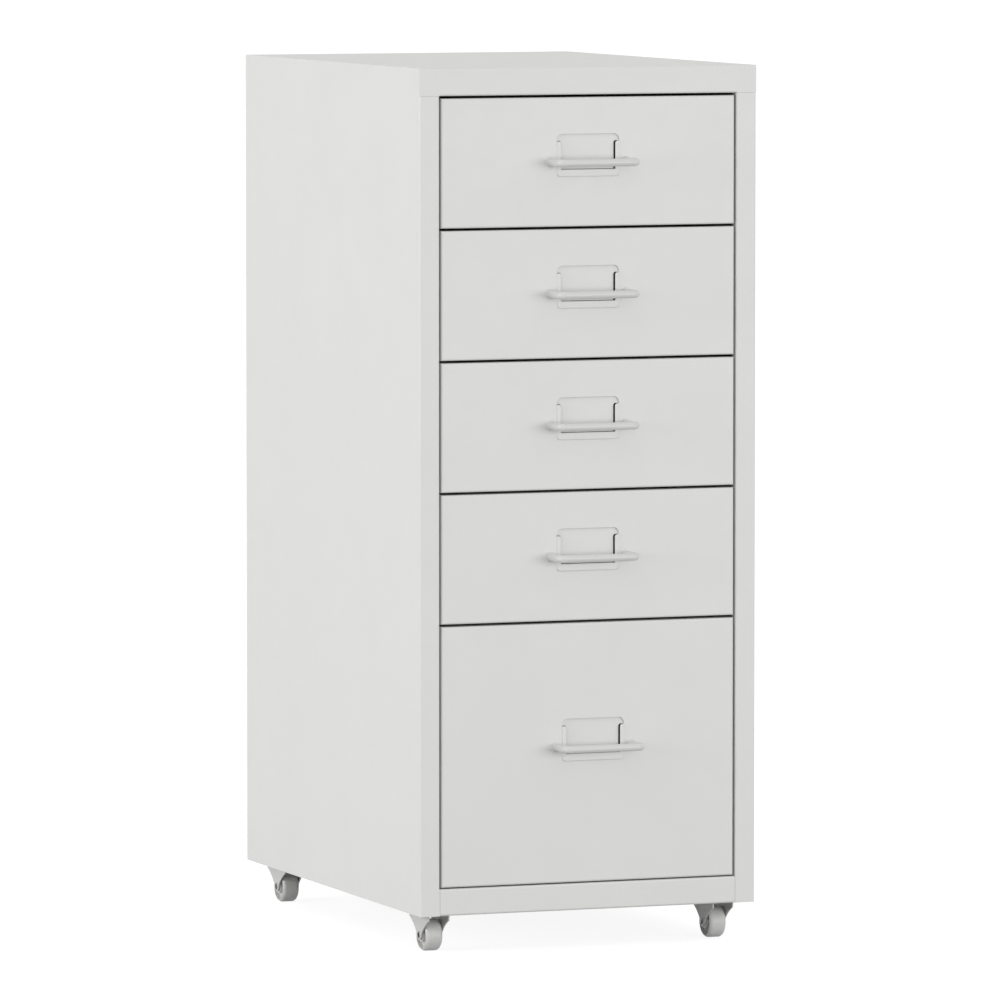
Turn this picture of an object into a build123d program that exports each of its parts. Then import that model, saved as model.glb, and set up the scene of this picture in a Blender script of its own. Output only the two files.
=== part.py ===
from build123d import *
import os

# Small metal drawer cabinet: a folded sheet case with four low drawers over one deep drawer,
# wire pulls, card holders pressed out of the drawer fronts, and four fixed castors.
#
# Millimetres, +Z up, +X to the right seen from the front, and the front faces -Y.
# The origin is on the floor, at the middle of the whole width and depth, which take in the
# pulls in front and the screw heads behind. Sheets are given by their outer faces, and every
# folded sheet is one piece with rounded bends.

os.makedirs("parts", exist_ok=True)

# ---------------------------------------------------------------- driving dimensions
CASE_W = 280.0              # over the side walls
CASE_D = 410.0              # front plane to back plane
CASE_SHEET = 0.8
BEND = 0.8                  # inside radius of every fold
SEAM = 0.2                  # line between two sheets that lie edge to edge

STILE_W = 16.5              # front flange of a side panel
STILE_RETURN = 10.0         # how far its edge folds back into the case
REAR_FLANGE = 16.0          # rear flange of a side panel
FOOT_FLANGE = 9.0           # inward flange along the bottom of a side panel
TOP_FLANGE = 12.0           # flanges that hang from the top panel
SKIRT_H = 21.5              # front skirt of the top panel
SKIRT_RETURN = 8.0
SKIRT_SEAM = 0.1            # line between the skirt and the stiles
LIP_H = 20.9                # front lip of the bottom panel
LIP_D = 12.0                # depth of the box that the lip folds into
BASE_RISE = 12.0            # top of the base sheet over the case's bottom edge
BASE_REAR_H = 15.0          # rear flange that stands on the base sheet
BACK_EDGE_GAP = 0.2         # between the back panel and the folds round it

DRAWER_UNIT = 102.18        # height that one low drawer takes in the stack
DRAWER_UNITS = (1, 1, 1, 1, 2)      # from the top drawer to the bottom one
DRAWER_GAP = 2.0            # between two fronts, and over the top one
SILL_GAP = 1.0              # between the bottom front and the lip
FRONT_SIDE_GAP = 1.6        # between a front and a stile
FRONT_SET_BACK = 0.6        # of the fronts behind the front plane
DRAWER_SHEET = 0.6
FRONT_D = 12.0              # depth of a front's folded edge
FRONT_EDGE_R = 1.5

TRAY_DROP = 12.0            # top of a tray below the top of its front
TRAY_LIFT = 3.0             # bottom of a tray over the bottom of its front
TRAY_BACK_GAP = 10.0        # between a closed tray and the back panel
TRAY_HEM = 6.0              # flat hem along the top of a tray's front and rear walls
TRAY_FLANGE_GAP = 3.5       # between a tray's flange and a stile
TRAVEL = 285.0              # how far a drawer pulls out
STOP_GAP = 0.5              # left at a stop tab when the drawer is out
STOP_REACH = 7.5            # how far a stop tab reaches behind a stile
STOP_H = 10.0
STOP_SHEET = 1.2

RUNNER_SHEET = 1.0
RUNNER_LEDGE = 25.0         # width of the ledge that carries a tray, from the side wall
RUNNER_LIP = 12.0           # width of the lip that keeps the tray from tipping
RUNNER_OPEN = 12.0          # height between ledge and lip
RUNNER_SIDE_GAP = 2.0       # between a ledge and the tray's wall
RUNNER_RIDE_GAP = 0.3       # between a tray's flange and the ledge
RUNNER_FRONT_GAP = 0.6      # between a closed front's edge and the runner's end
RUNNER_BACK_GAP = 8.0

PULL_ROD = 6.0
PULL_PITCH = 63.0           # between the two legs
PULL_REACH = 26.0           # of the rod in front of the drawer's face
PULL_BEND = 4.0             # at the rod's centre line
PULL_UP = (0.0, 0.0, 0.0, 0.0, 5.0)         # over the middle of each front
PULL_ACROSS = (0.0, 0.0, 0.0, 0.0, 4.5)     # to the right of the middle

PULL_FOOT_D = 7.8           # collar upset on each leg where it stands on the face
PULL_FOOT_L = 1.4
PULL_FOOT_R = 0.7

CARD_W = 51.8               # over the card holder's bars
CARD_ACROSS = -0.5          # middle of the card holder, to the right of the pull's middle
CARD_BAR = 3.5              # width of a side bar
CARD_SLIT = 0.6             # cut between a bar and the tongue
CARD_SILL_SLIT = 0.3        # cut between the sill and the tongue
CARD_TOP_SLIT = 0.3         # cut over a bar's top end
CARD_RAISE = 0.9            # of the bars in front of the face
CARD_SINK = 1.7             # of the tongue and the shoulder behind the face
CARD_TOP = 16.0             # bar tops over the pull's axis
CARD_SHOULDER = 21.5        # top of the sunk shoulder over the pull's axis
CARD_SILL = 5.8             # window's lower edge below the pull's axis
CARD_FOOT = 11.5            # frame's lower edge below the pull's axis
CARD_CORNER_R = 3.0
CARD_END_ROUNDING = 0.9     # rounding of a bar's end, as a share of its flat width
CARD_SHOULDER_R = 4.5
CARD_EDGE_R = 0.8
CARD_LIP_R = 0.4            # edge round the sunk shoulder
CARD_RELIEF = 6.0           # how much larger the hole in the tray behind it is
CARD_RELIEF_TOP = 2.0       # how far that hole goes over the shoulder

WHEEL_D = 25.0
WHEEL_W = 14.5
WHEEL_EDGE_R = 1.4
WHEEL_HUB_D = 11.0
WHEEL_DISH_D = 21.0
WHEEL_DISH = 4.0
WHEEL_SIDE_GAP = 0.5        # between the wheel and a fork leg
CASTOR_H = 31.0             # floor to the case's bottom edge
CASTOR_IN = 21.0            # wheel's middle plane from the outside of the case
CASTOR_FRONT = 36.0         # axle from the front plane
CASTOR_REAR = 38.0          # axle from the back plane
FORK_SHEET = 1.0
FORK_L = 43.5               # length of the fork's top along Y
FORK_SHOULDER = 5.5         # straight edges reach this far below the case
FORK_NECK = 11.7            # width of a leg at the axle
FORK_TIP = 3.8              # leg end below the axle
FORK_SAG = 1.2              # how far a leg's edges curve in between shoulder and neck
AXLE_D = 5.0
AXLE_BORE = 4.0
AXLE_HEAD_D = 6.0
AXLE_HEAD_H = 0.4
AXLE_GAP = 0.05             # round the axle, in the wheel and in the legs

CASE_SCREW = (3.5, 7.0, 1.6, 6.0)           # shank and head diameter, head height, shank length
PULL_SCREW = (3.0, 6.0, 1.8, 8.6)
CASTOR_SCREW = (4.0, 7.6, 2.2, 6.2)
SCREW_GAP = 0.1             # round a shank
SCREW_SLOT = 0.9            # width and depth of the cross in a head
SCREW_SLOT_SHARE = 0.55     # length of the cross, as a share of the head
HEAD_ROUNDING = 0.6         # rounding of a head's edge, as a share of its height
TOP_SCREW_DROP = 7.2        # screws in the top panel's rear flange, below the top
NUT_ACROSS = 7.0            # across the flats
NUT_H = 3.0
BACK_SCREW_ROWS = 4
BACK_SCREW_MARGIN = 40.0    # end screws from the ends of the back panel
FLANGE_SCREW_PITCH = 120.0  # the two screws in the top panel's and the base's rear flanges
CASTOR_SCREW_PITCH = 32.0

# ---------------------------------------------------------------- positions that follow
DEPTH_OVER_ALL = (PULL_REACH - FRONT_SET_BACK) + CASE_D + CASE_SCREW[2]
FRONT_Y = -DEPTH_OVER_ALL / 2 + PULL_REACH - FRONT_SET_BACK
BACK_Y = FRONT_Y + CASE_D
SIDE_X = CASE_W / 2
OPENING_X = SIDE_X - STILE_W
SILL_Z = CASTOR_H + LIP_H + SILL_GAP / 2
STACK_H = sum(DRAWER_UNITS) * DRAWER_UNIT
SKIRT_Z = SILL_Z + STACK_H + DRAWER_GAP / 2
TOP_Z = SKIRT_Z + SKIRT_H
BASE_Z = CASTOR_H + BASE_RISE

FACE_Y = FRONT_Y + FRONT_SET_BACK           # outside of the drawer fronts
FRONT_X = OPENING_X - FRONT_SIDE_GAP
TRAY_Y = FACE_Y + DRAWER_SHEET              # a tray bears on the back of its front
TRAY_BACK_Y = BACK_Y - 2 * CASE_SHEET - TRAY_BACK_GAP
TRAY_X = SIDE_X - CASE_SHEET - RUNNER_LEDGE - RUNNER_SIDE_GAP
TRAY_FLANGE_X = OPENING_X - TRAY_FLANGE_GAP
RUNNER_Y = FACE_Y + FRONT_D + RUNNER_FRONT_GAP
RUNNER_BACK_Y = BACK_Y - 2 * CASE_SHEET - RUNNER_BACK_GAP

AXLE_Z = WHEEL_D / 2
FORK_X = WHEEL_W / 2 + WHEEL_SIDE_GAP + FORK_SHEET      # outside of a leg, from the wheel's middle
FORK_TOP_Z = BASE_Z - CASE_SHEET
CASTORS = {
    "front_left": (-SIDE_X + CASTOR_IN, FRONT_Y + CASTOR_FRONT),
    "front_right": (SIDE_X - CASTOR_IN, FRONT_Y + CASTOR_FRONT),
    "rear_left": (-SIDE_X + CASTOR_IN, BACK_Y - CASTOR_REAR),
    "rear_right": (SIDE_X - CASTOR_IN, BACK_Y - CASTOR_REAR),
}


# ---------------------------------------------------------------- shapes used everywhere
def save(name, piece):
    export_step(piece, f"parts/{name}.step")


def block(x, y, z):
    """A box between two limits along each axis."""
    limits = [sorted(pair) for pair in (x, y, z)]
    size = [high - low for low, high in limits]
    middle = [(high + low) / 2 for low, high in limits]
    return Pos(*middle) * Box(*size)


def folded(points, sheet, plane, length):
    """One sheet along a centre line with rounded folds, drawn on a plane and drawn out from it."""
    line = FilletPolyline(*points, radius=BEND + sheet / 2)
    return extrude(plane * trace(line, sheet), amount=length)


def rod_along_y(x, y, z, radius):
    """A round rod, or the cutter of a hole, between two places along Y."""
    length = y[1] - y[0]
    return Pos(x, (y[0] + y[1]) / 2, z) * Rot(90, 0, 0) * Cylinder(radius, length)


def screw(size):
    """A cross-head screw: its head stands on the XY plane and its shank points down."""
    shank_d, head_d, head_h, shank_l = size
    head = Pos(0, 0, head_h / 2) * Cylinder(head_d / 2, head_h)
    head = fillet(head.edges().sort_by(Axis.Z)[-1], head_h * HEAD_ROUNDING)
    shank = Pos(0, 0, -shank_l / 2) * Cylinder(shank_d / 2, shank_l)
    body = head + shank
    for turn in (0, 90):
        slot = Box(head_d * SCREW_SLOT_SHARE, SCREW_SLOT, 2 * SCREW_SLOT)
        body -= Pos(0, 0, head_h) * Rot(0, 0, turn) * slot
    return body


def spread(count, low, high):
    """Evenly spaced values from low to high."""
    return [low + (high - low) * step / (count - 1) for step in range(count)]


# ---------------------------------------------------------------- case
def back_screw_places():
    """Where screws go through the back: up both rear flanges, and across the top and the base."""
    flange_x = SIDE_X - REAR_FLANGE / 2
    rows = spread(BACK_SCREW_ROWS, BASE_Z + BACK_SCREW_MARGIN, TOP_Z - BACK_SCREW_MARGIN)
    places = [(side * flange_x, z) for z in rows for side in (-1, 1)]
    for z in (TOP_Z - TOP_SCREW_DROP, BASE_Z + BASE_REAR_H / 2):
        places += [(side * FLANGE_SCREW_PITCH / 2, z) for side in (-1, 1)]
    return places


def back_screw_holes():
    radius = CASE_SCREW[0] / 2 + SCREW_GAP
    depth = (BACK_Y - 3 * CASE_SHEET, BACK_Y + CASE_SHEET)
    return Part() + [rod_along_y(x, depth, z, radius) for x, z in back_screw_places()]


def rear_fold_relief(side):
    """What the top and base sheets lose at a rear corner, where the side panel's fold is rounded."""
    return block((side * (SIDE_X - CASE_SHEET - BEND), side * (SIDE_X + 1)),
                 (BACK_Y - CASE_SHEET - BEND, BACK_Y + 1), (CASTOR_H - 1, TOP_Z + 1))


def side_panel():
    """The left side: wall, front stile with its return, rear flange and foot flange."""
    half = CASE_SHEET / 2
    outline = [
        (-OPENING_X - half, FRONT_Y + STILE_RETURN),
        (-OPENING_X - half, FRONT_Y + half),
        (-SIDE_X + half, FRONT_Y + half),
        (-SIDE_X + half, BACK_Y - half),
        (-SIDE_X + REAR_FLANGE, BACK_Y - half),
    ]
    panel = folded(outline, CASE_SHEET, Plane.XY.offset(CASTOR_H), TOP_Z - CASTOR_H)
    panel += block((-SIDE_X + half, -SIDE_X + FOOT_FLANGE),
                   (FRONT_Y + LIP_D + CASE_SHEET, BACK_Y - CASE_SHEET - BEND),
                   (CASTOR_H, CASTOR_H + CASE_SHEET))
    # the skirt of the top panel covers the upper end of the stile and of the wall's front edge
    over_stile = (SKIRT_Z - SKIRT_SEAM, TOP_Z + 1)
    panel -= block((-SIDE_X + CASE_SHEET, -OPENING_X + 1), (FRONT_Y - 1, FRONT_Y + STILE_RETURN + 1),
                   over_stile)
    panel -= block((-SIDE_X - 1, -OPENING_X), (FRONT_Y - 1, FRONT_Y + CASE_SHEET), over_stile)
    # beside the lip the stile stays flat to its edge, so the two meet in one plane
    fold_x = -OPENING_X - BEND - CASE_SHEET
    panel -= block((fold_x, -OPENING_X + 1), (FRONT_Y - 1, FRONT_Y + STILE_RETURN + 1),
                   (CASTOR_H - 1, CASTOR_H + LIP_H))
    panel += block((fold_x, -OPENING_X), (FRONT_Y, FRONT_Y + CASE_SHEET), (CASTOR_H, CASTOR_H + LIP_H))
    return panel - back_screw_holes()


def top_panel():
    """The top with its full-width front skirt, and flanges inside the sides and the back."""
    half = CASE_SHEET / 2
    outline = [
        (FRONT_Y + SKIRT_RETURN, SKIRT_Z + half),
        (FRONT_Y + half, SKIRT_Z + half),
        (FRONT_Y + half, TOP_Z - half),
        (BACK_Y - half, TOP_Z - half),
        (BACK_Y - half, TOP_Z - TOP_FLANGE),
    ]
    panel = folded(outline, CASE_SHEET, Plane.YZ.offset(-SIDE_X), CASE_W)
    inside_x = SIDE_X - CASE_SHEET
    rear_x = SIDE_X - REAR_FLANGE - SEAM
    heights = (SKIRT_Z - 1, TOP_Z + 1)
    fold_z = SKIRT_Z + BEND + CASE_SHEET
    for side in (-1, 1):
        panel -= block((side * inside_x, side * (SIDE_X + 1)), (FRONT_Y + CASE_SHEET, BACK_Y + 1), heights)
        panel -= block((side * rear_x, side * (SIDE_X + 1)), (BACK_Y - CASE_SHEET, BACK_Y + 1), heights)
        panel -= rear_fold_relief(side)
        # over a stile the skirt stays flat to its edge, so the two meet in one plane
        panel -= block((side * OPENING_X, side * (SIDE_X + 1)), (FRONT_Y - 1, FRONT_Y + SKIRT_RETURN + 1),
                       (SKIRT_Z - 1, fold_z))
        panel += block((side * OPENING_X, side * SIDE_X), (FRONT_Y, FRONT_Y + CASE_SHEET), (SKIRT_Z, fold_z))
        panel += block((side * (inside_x - CASE_SHEET), side * inside_x),
                       (FRONT_Y + SKIRT_RETURN + CASE_SHEET, BACK_Y - 3 * CASE_SHEET),
                       (TOP_Z - TOP_FLANGE, TOP_Z - half))
    return panel - back_screw_holes()


def bottom_panel():
    """The base sheet with its boxed front lip, side flanges on the foot flanges and a rear flange."""
    half = CASE_SHEET / 2
    lip_z = CASTOR_H + LIP_H
    outline = [
        (FRONT_Y + LIP_D - CASE_SHEET, lip_z - half),
        (FRONT_Y + half, lip_z - half),
        (FRONT_Y + half, CASTOR_H + half),
        (FRONT_Y + LIP_D + half, CASTOR_H + half),
        (FRONT_Y + LIP_D + half, BASE_Z - half),
        (BACK_Y - half, BASE_Z - half),
        (BACK_Y - half, BASE_Z + BASE_REAR_H),
    ]
    inside_x = SIDE_X - CASE_SHEET
    rear_x = SIDE_X - REAR_FLANGE - SEAM
    lip_x = OPENING_X - SEAM
    heights = (CASTOR_H - 1, BASE_Z + BASE_REAR_H + 1)
    panel = folded(outline, CASE_SHEET, Plane.YZ.offset(-inside_x), 2 * inside_x)
    for side in (-1, 1):
        panel -= block((side * lip_x, side * SIDE_X), (FRONT_Y - 1, FRONT_Y + LIP_D), heights)
        panel -= block((side * rear_x, side * SIDE_X), (BACK_Y - CASE_SHEET, BACK_Y + 1), heights)
        panel -= rear_fold_relief(side)
        panel += block((side * (inside_x - CASE_SHEET), side * inside_x),
                       (FRONT_Y + LIP_D + 3 * CASE_SHEET, BACK_Y - 3 * CASE_SHEET),
                       (CASTOR_H + CASE_SHEET, BASE_Z - half))
    for x, y in castor_screw_places():
        panel -= Pos(x, y, BASE_Z) * Cylinder(CASTOR_SCREW[0] / 2 + SCREW_GAP, 4 * CASE_SHEET)
    return panel - back_screw_holes()


def back_panel():
    """A flat sheet inside the rear flanges."""
    edge = CASE_SHEET + BEND + BACK_EDGE_GAP
    panel = block((-SIDE_X + edge, SIDE_X - edge),
                  (BACK_Y - 2 * CASE_SHEET, BACK_Y - CASE_SHEET),
                  (BASE_Z + edge - CASE_SHEET, TOP_Z - edge))
    return panel - back_screw_holes()


def back_screws():
    return [Pos(x, BACK_Y, z) * Rot(-90, 0, 0) * screw(CASE_SCREW) for x, z in back_screw_places()]


# ---------------------------------------------------------------- drawers and runners
def drawer_limits():
    """Bottom and top of each drawer front, from the top drawer down."""
    limits = []
    line = SILL_Z + STACK_H
    for units in DRAWER_UNITS:
        top = line - DRAWER_GAP / 2
        line -= units * DRAWER_UNIT
        last = len(limits) == len(DRAWER_UNITS) - 1
        bottom = line + (SILL_GAP if last else DRAWER_GAP) / 2
        limits.append((bottom, top))
    return limits


def runner(front_top):
    """The left runner: a channel on the side wall, its ledge under a tray's flange."""
    half = RUNNER_SHEET / 2
    wall_x = -SIDE_X + CASE_SHEET
    ledge_z = front_top - TRAY_DROP - DRAWER_SHEET - RUNNER_RIDE_GAP
    lip_z = ledge_z + RUNNER_OPEN
    outline = [
        (wall_x + RUNNER_LEDGE, ledge_z - half),
        (wall_x + half, ledge_z - half),
        (wall_x + half, lip_z + half),
        (wall_x + RUNNER_LIP, lip_z + half),
    ]
    return folded(outline, RUNNER_SHEET, Plane.XZ.offset(-RUNNER_BACK_Y), RUNNER_BACK_Y - RUNNER_Y)


def tray_limits(front_bottom, front_top):
    """Bottom and top of the tray behind a front."""
    return front_bottom + TRAY_LIFT, front_top - TRAY_DROP


def tray(front_bottom, front_top):
    """Floor and sides in one sheet, whose top edges fold outwards and hang on the runners."""
    half = DRAWER_SHEET / 2
    bottom, top = tray_limits(front_bottom, front_top)
    outline = [
        (-TRAY_FLANGE_X, top - half),
        (-TRAY_X + half, top - half),
        (-TRAY_X + half, bottom + half),
        (TRAY_X - half, bottom + half),
        (TRAY_X - half, top - half),
        (TRAY_FLANGE_X, top - half),
    ]
    box = folded(outline, DRAWER_SHEET, Plane.XZ.offset(-TRAY_BACK_Y), TRAY_BACK_Y - TRAY_Y)
    stop_y = FRONT_Y + STILE_RETURN + TRAVEL + STOP_GAP
    for side in (-1, 1):
        # the flanges start behind the folded edge of the front
        box -= block((side * TRAY_X, side * (TRAY_FLANGE_X + 1)), (TRAY_Y - 1, RUNNER_Y), (bottom, top + 1))
        box += block((side * (TRAY_X - half), side * (OPENING_X + STOP_REACH)),
                     (stop_y, stop_y + STOP_SHEET), (top - DRAWER_SHEET, top - DRAWER_SHEET + STOP_H))
    return box


def tray_ends(front_bottom, front_top, pull_x, pull_z):
    """The front and the rear wall, welded in between the sides and hemmed flat along the top."""
    bottom, top = tray_limits(front_bottom, front_top)
    wall_x = (-TRAY_X + DRAWER_SHEET, TRAY_X - DRAWER_SHEET)
    walls = []
    for y, inwards in ((TRAY_Y, DRAWER_SHEET), (TRAY_BACK_Y, -DRAWER_SHEET)):
        wall = block(wall_x, (y, y + inwards), (bottom + DRAWER_SHEET + BEND, top))
        wall += block(wall_x, (y, y + 2 * inwards), (top - TRAY_HEM, top))
        walls.append(wall)
    # the front wall is cut out behind the card holder and bored for the pull's screws
    relief_x = min((CARD_W + CARD_RELIEF) / 2, PULL_PITCH / 2 - PULL_SCREW[1] / 2 - 1 - abs(CARD_ACROSS))
    card_x = pull_x + CARD_ACROSS
    walls[0] -= block((card_x - relief_x, card_x + relief_x), (TRAY_Y - 1, TRAY_Y + DRAWER_SHEET),
                      (pull_z - (CARD_W + CARD_RELIEF) / 2, pull_z + CARD_SHOULDER + CARD_RELIEF_TOP))
    walls[0] -= pull_screw_holes(pull_x, pull_z)
    return walls


def pull_screw_holes(pull_x, pull_z):
    """Holes for the pull's screws through the front and the tray behind it."""
    radius = PULL_SCREW[0] / 2 + SCREW_GAP
    depth = (FACE_Y - 1, FACE_Y + 4 * DRAWER_SHEET)
    return Part() + [rod_along_y(pull_x + side * PULL_PITCH / 2, depth, pull_z, radius) for side in (-1, 1)]


def upright(width, low, high):
    """A rectangle about the middle of the card holder, between two heights."""
    return Pos(0, (low + high) / 2) * Rectangle(width, high - low)


def card_outlines():
    """The card holder flat: its shoulder, the U of its frame, and the cut round the tongue."""
    window_w = CARD_W - 2 * CARD_BAR
    shoulder = upright(CARD_W, CARD_TOP, CARD_SHOULDER)
    shoulder = fillet(shoulder.vertices().group_by(Axis.Y)[-1], CARD_SHOULDER_R)
    frame = upright(CARD_W, -CARD_FOOT, CARD_TOP)
    frame = fillet(frame.vertices().group_by(Axis.Y)[0], CARD_CORNER_R)
    frame -= upright(window_w, -CARD_SILL, CARD_TOP)
    bar_ends = frame.vertices().group_by(Axis.Y)[-1].filter_by(lambda corner: abs(corner.X) < CARD_W / 2 - 1)
    frame = fillet(bar_ends, min(CARD_CORNER_R, CARD_END_ROUNDING * (CARD_BAR - 2 * CARD_EDGE_R)))
    cut = offset(frame, CARD_SLIT)
    cut &= upright(CARD_W - 2 * DRAWER_SHEET, -CARD_FOOT + DRAWER_SHEET, CARD_TOP + CARD_TOP_SLIT)
    cut -= upright(window_w - 2 * CARD_SLIT, -CARD_SILL + CARD_SILL_SLIT, CARD_TOP - CARD_CORNER_R)
    return shoulder, frame, cut


def with_card_holder(sheet, pull_x, pull_z):
    """A front with the tongue and the shoulder pressed in, and the frame round them pressed out."""
    card_x = pull_x + CARD_ACROSS
    place = Plane((card_x, FACE_Y, pull_z), x_dir=(1, 0, 0), z_dir=(0, -1, 0))
    shoulder, frame, cut = card_outlines()
    sunk = upright(CARD_W, -CARD_SILL, CARD_TOP) + shoulder - frame
    pocket = offset(shoulder, DRAWER_SHEET) + upright(CARD_W - 2 * CARD_BAR, -CARD_SILL, CARD_TOP)
    floor = CARD_SINK + DRAWER_SHEET
    sheet += extrude(place.offset(-floor) * pocket, amount=floor)
    sheet -= extrude(place.offset(-CARD_SINK) * sunk, amount=floor)
    middle = pull_z + (CARD_TOP + CARD_SHOULDER) / 2
    lip = [edge for edge in sheet.edges().filter_by_position(Axis.Y, FACE_Y, FACE_Y)
           if abs(edge.center().Z - middle) < (CARD_SHOULDER - CARD_TOP) * 0.6
           and abs(edge.center().X - card_x) < CARD_W * 0.6]
    sheet = fillet(lip, CARD_LIP_R)
    raised = extrude(place * frame, amount=CARD_RAISE)
    sheet += fillet(raised.faces().sort_by(Axis.Y)[0].edges(), CARD_EDGE_R)
    return sheet - extrude(place.offset(-2 * floor) * cut, amount=2 * floor + CARD_RAISE - DRAWER_SHEET)


def drawer_front(front_bottom, front_top, pull_x, pull_z):
    """A shallow pan with the card holder pressed out of its face."""
    shell = block((-FRONT_X, FRONT_X), (FACE_Y, FACE_Y + FRONT_D), (front_bottom, front_top))
    shell = fillet(shell.faces().sort_by(Axis.Y)[0].edges(), FRONT_EDGE_R)
    core = block((-FRONT_X + DRAWER_SHEET, FRONT_X - DRAWER_SHEET),
                 (FACE_Y + DRAWER_SHEET, FACE_Y + FRONT_D + 1),
                 (front_bottom + DRAWER_SHEET, front_top - DRAWER_SHEET))
    core = fillet(core.faces().sort_by(Axis.Y)[0].edges(), FRONT_EDGE_R - DRAWER_SHEET)
    return with_card_holder(shell - core, pull_x, pull_z) - pull_screw_holes(pull_x, pull_z)


def pull(pull_x, pull_z):
    """A bow of round rod whose legs end in small collars on the front, bored for the screws."""
    leg_x = PULL_PITCH / 2
    bar_y = FACE_Y - PULL_REACH + PULL_ROD / 2
    line = FilletPolyline((pull_x - leg_x, FACE_Y, pull_z), (pull_x - leg_x, bar_y, pull_z),
                          (pull_x + leg_x, bar_y, pull_z), (pull_x + leg_x, FACE_Y, pull_z),
                          radius=PULL_BEND)
    section = Plane(line @ 0, x_dir=(1, 0, 0), z_dir=line % 0) * Circle(PULL_ROD / 2)
    bow = sweep(section, path=line)
    radius = PULL_SCREW[0] / 2 + SCREW_GAP
    depth = PULL_SCREW[3] - 2 * DRAWER_SHEET + 1
    for side in (-1, 1):
        foot = rod_along_y(pull_x + side * leg_x, (FACE_Y - PULL_FOOT_L, FACE_Y), pull_z, PULL_FOOT_D / 2)
        front_edge = foot.edges().filter_by(GeomType.CIRCLE).sort_by(Axis.Y)[0]
        bow += fillet(front_edge, PULL_FOOT_R)
        bow -= rod_along_y(pull_x + side * leg_x, (FACE_Y - depth, FACE_Y + 1), pull_z, radius)
    return bow


def pull_screws(pull_x, pull_z):
    head_y = TRAY_Y + DRAWER_SHEET
    return [Pos(pull_x + side * PULL_PITCH / 2, head_y, pull_z) * Rot(-90, 0, 0) * screw(PULL_SCREW)
            for side in (-1, 1)]


# ---------------------------------------------------------------- castors
def castor_screw_places():
    """Where screws go up through the forks and the base sheet."""
    return [(x, y + side * CASTOR_SCREW_PITCH / 2) for x, y in CASTORS.values() for side in (-1, 1)]


def fork(x, y):
    """A channel with its web under the base sheet; each leg narrows in two curves to the axle."""
    channel = block((x - FORK_X, x + FORK_X), (y - FORK_L / 2, y + FORK_L / 2), (0, FORK_TOP_Z))
    channel = fillet(channel.edges().filter_by(Axis.Y).group_by(Axis.Z)[-1], BEND + FORK_SHEET)
    inside_x = FORK_X - FORK_SHEET
    inside = block((x - inside_x, x + inside_x), (y - FORK_L, y + FORK_L), (-1, FORK_TOP_Z - FORK_SHEET))
    channel -= fillet(inside.edges().filter_by(Axis.Y).group_by(Axis.Z)[-1], BEND)
    tip_r = FORK_NECK / 2
    tip_z = AXLE_Z - FORK_TIP + tip_r
    edges = [CenterArc((0, tip_z), tip_r, 180, 180),
             Line((-FORK_L / 2, FORK_TOP_Z), (FORK_L / 2, FORK_TOP_Z))]
    for side in (-1, 1):
        shoulder = (side * FORK_L / 2, CASTOR_H - FORK_SHOULDER)
        edges.append(Line((side * FORK_L / 2, FORK_TOP_Z), shoulder))
        edges.append(SagittaArc(shoulder, (side * tip_r, tip_z), -side * FORK_SAG))
    outline = make_face(edges)
    channel &= extrude(Plane.YZ.offset(x - FORK_X) * Pos(y, 0) * outline, amount=2 * FORK_X)
    channel -= Pos(x, y, AXLE_Z) * Rot(0, 90, 0) * Cylinder(AXLE_D / 2 + AXLE_GAP, 3 * FORK_X)
    for side in (-1, 1):
        place = Pos(x, y + side * CASTOR_SCREW_PITCH / 2, FORK_TOP_Z)
        channel -= place * Cylinder(CASTOR_SCREW[0] / 2 + SCREW_GAP, 4 * FORK_SHEET)
    return channel


def wheel(x, y):
    """A solid wheel with a rounded tread, dished sides and a bored hub."""
    body = Cylinder(WHEEL_D / 2, WHEEL_W)
    body = fillet(body.edges().filter_by(GeomType.CIRCLE), WHEEL_EDGE_R)
    for side in (-1, 1):
        ring = Cylinder(WHEEL_DISH_D / 2, 2 * WHEEL_DISH) - Cylinder(WHEEL_HUB_D / 2, 2 * WHEEL_DISH)
        body -= Pos(0, 0, side * WHEEL_W / 2) * ring
    body -= Cylinder(AXLE_D / 2 + AXLE_GAP, 2 * WHEEL_W)
    return Pos(x, y, AXLE_Z) * Rot(0, 90, 0) * body


def axle(x, y):
    """A hollow rivet through both legs and the wheel."""
    body = Cylinder(AXLE_D / 2, 2 * FORK_X)
    for side in (-1, 1):
        head = Pos(0, 0, side * (FORK_X + AXLE_HEAD_H / 2)) * Cylinder(AXLE_HEAD_D / 2, AXLE_HEAD_H)
        outer = head.edges().filter_by(GeomType.CIRCLE).sort_by(Axis.Z)[-1 if side > 0 else 0]
        body += fillet(outer, AXLE_HEAD_H * HEAD_ROUNDING)
    body -= Cylinder(AXLE_BORE / 2, 3 * FORK_X)
    return Pos(x, y, AXLE_Z) * Rot(0, 90, 0) * body


def castor_screws():
    """Screws from below, their heads under the forks' webs."""
    head_z = FORK_TOP_Z - FORK_SHEET
    return [Pos(x, y, head_z) * Rot(180, 0, 0) * screw(CASTOR_SCREW) for x, y in castor_screw_places()]


def castor_nuts():
    """Nuts on the base sheet, inside the case."""
    nut = extrude(RegularPolygon(NUT_ACROSS / 2, 6, major_radius=False), amount=NUT_H)
    nut -= Cylinder(CASTOR_SCREW[0] / 2 + SCREW_GAP, 4 * NUT_H)
    return [Pos(x, y, BASE_Z) * nut for x, y in castor_screw_places()]


# ---------------------------------------------------------------- the assembly, piece by piece
left_side = side_panel()
save("side_panel_left", left_side)
save("side_panel_right", mirror(left_side, about=Plane.YZ))
save("top_panel", top_panel())
save("bottom_panel", bottom_panel())
save("back_panel", back_panel())
save("back_screws", Compound(children=back_screws()))

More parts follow.
